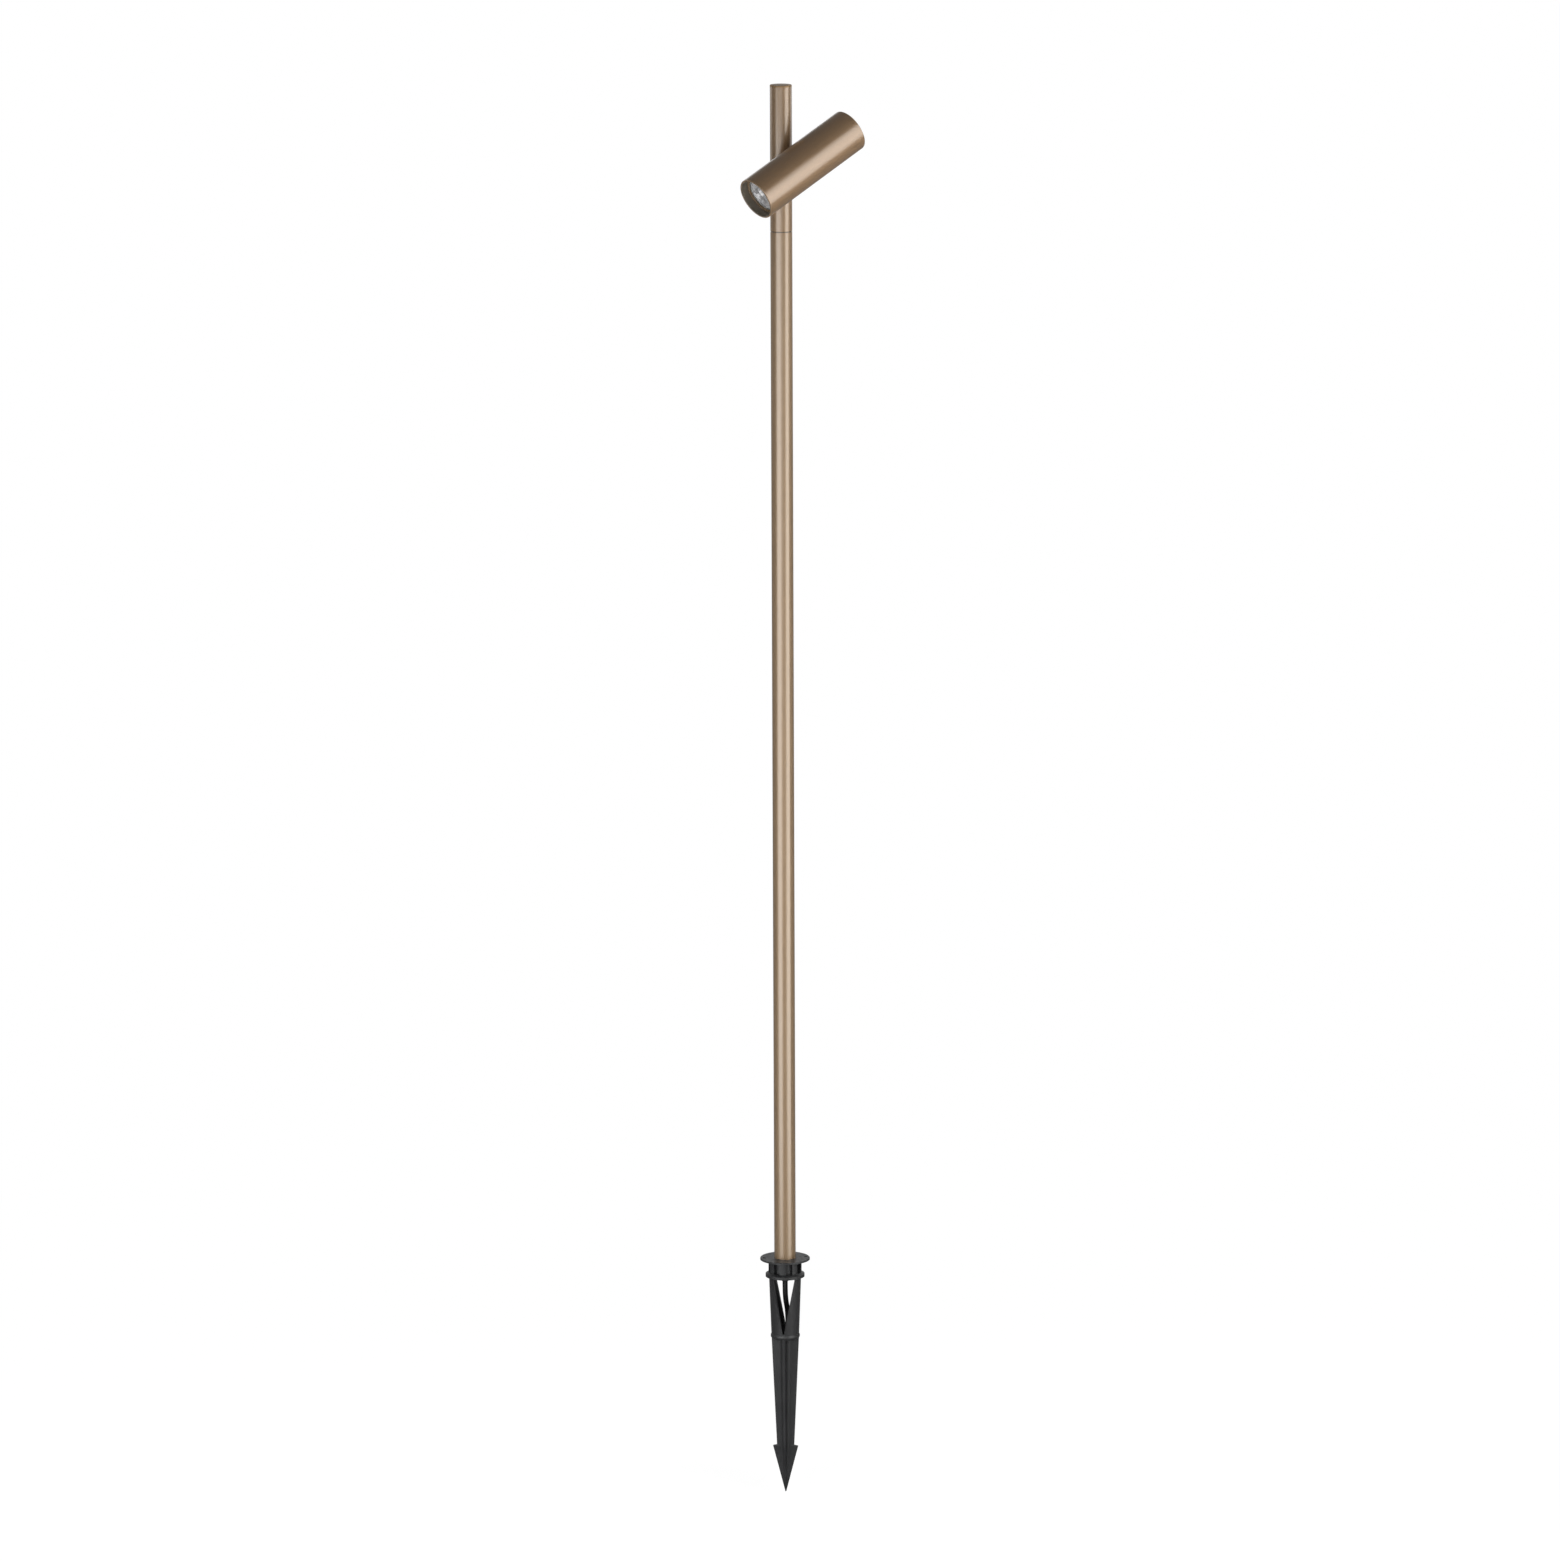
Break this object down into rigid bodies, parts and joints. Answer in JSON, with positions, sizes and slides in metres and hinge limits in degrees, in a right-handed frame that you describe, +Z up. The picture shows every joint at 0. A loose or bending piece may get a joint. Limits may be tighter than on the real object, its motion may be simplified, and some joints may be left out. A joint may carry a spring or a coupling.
{
  "type": "garden spike spotlight",
  "caption": "Tall tubular garden spotlight on a barbed ground spike; the tube head tilts on a side pivot and the upper post turns above a seam.",
  "frame": {"origin": "on the post's axis at ground level, which is the underside of the spike's flange", "axes": "+Z up along the post; the lamp looks towards -Y and down; the head hangs beside the post on its +X side and its pivot's axis is along X"},
  "size_m": [0.1157, 0.1372, 1.454],
  "materials": {
    "bronze_paint": "satin bronze metallic powder coat",
    "spike_plastic": "moulded, fine satin texture",
    "dark_plastic": "moulded",
    "pale_plastic": "turned low-friction plastic",
    "black_rubber": "moulded",
    "pale_silicone": "moulded silicone",
    "cable_rubber": "extruded sheath",
    "core_insulation": "extruded",
    "turned_brass": "turned",
    "plain_steel": "zinc plated",
    "bare_aluminium": "spun",
    "clear_glass": "clear",
    "lamp_mirror": "faceted bright coating",
    "white_ceramic": "unglazed"
  },
  "bodies": {
    "stake": {"ground_spike": "spike_plastic", "lower_post": "bronze_paint", "foot_plug": "dark_plastic", "strain_relief": "black_rubber", "riser_cable": "cable_rubber", "swivel_spigot": "turned_brass", "seam_washer": "dark_plastic", "wave_washer": "plain_steel", "swivel_nut": "plain_steel", "supply_cable": "cable_rubber", "cable_hank": "cable_rubber", "hank_tie": "dark_plastic", "cable_ends": "core_insulation"},
    "upper": {"upper_post": "bronze_paint", "top_cap": "bronze_paint", "swivel_bush": "pale_plastic", "post_saddle": "bronze_paint", "inner_saddle": "pale_plastic", "upper_cores": "core_insulation"},
    "head": {"head_housing": "bronze_paint", "rear_cap": "bronze_paint", "rear_cap_seal": "black_rubber", "front_ring": "bronze_paint", "front_glass": "clear_glass", "glass_seal": "pale_silicone", "lamp_reflector": "lamp_mirror", "lamp_capsule": "clear_glass", "lamp_base": "white_ceramic", "lamp_holder": "white_ceramic", "lamp_carrier": "bare_aluminium", "head_cores": "core_insulation", "head_saddle": "bronze_paint", "pivot_bolt": "plain_steel", "pivot_washer": "dark_plastic", "disc_spring": "plain_steel", "pivot_nut": "plain_steel"}
  },
  "joints": [
    {"name": "head_pan", "type": "hinge", "parent": "stake", "child": "upper", "pos_m": [0, 0, 1.06], "axis": [0, 0, 1], "range_deg": [-170, 170]},
    {"name": "head_tilt", "type": "hinge", "parent": "upper", "child": "head", "pos_m": [0.036, 0, 1.13], "axis": [1, 0, 0], "range_deg": [-117.3, 62.7]}
  ]
}
